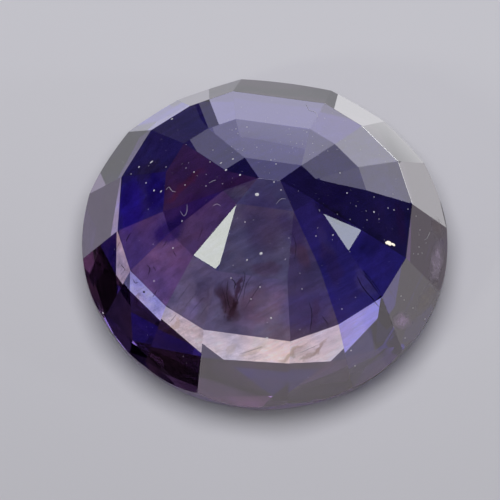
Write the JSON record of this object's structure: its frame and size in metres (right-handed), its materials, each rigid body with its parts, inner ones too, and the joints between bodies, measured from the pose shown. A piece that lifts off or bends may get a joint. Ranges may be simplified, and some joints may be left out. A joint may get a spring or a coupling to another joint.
{
  "type": "faceted iolite gemstone",
  "caption": "Oval faceted iolite gemstone, violet-blue and see-through, with a flat table, a shallow crown, a thin girdle and a deep pavilion that ends in a short keel.",
  "frame": {"origin": "middle of the table, the flat face that the stone rests on", "axes": "+X along the stone's length, +Z from the table up through the girdle to the keel of the pavilion"},
  "size_m": [0.0104, 0.01, 0.006],
  "materials": {
    "iolite": "polished violet-blue crystal, see-through"
  },
  "bodies": {
    "root": {"iolite_gem": "iolite"}
  },
  "joints": []
}
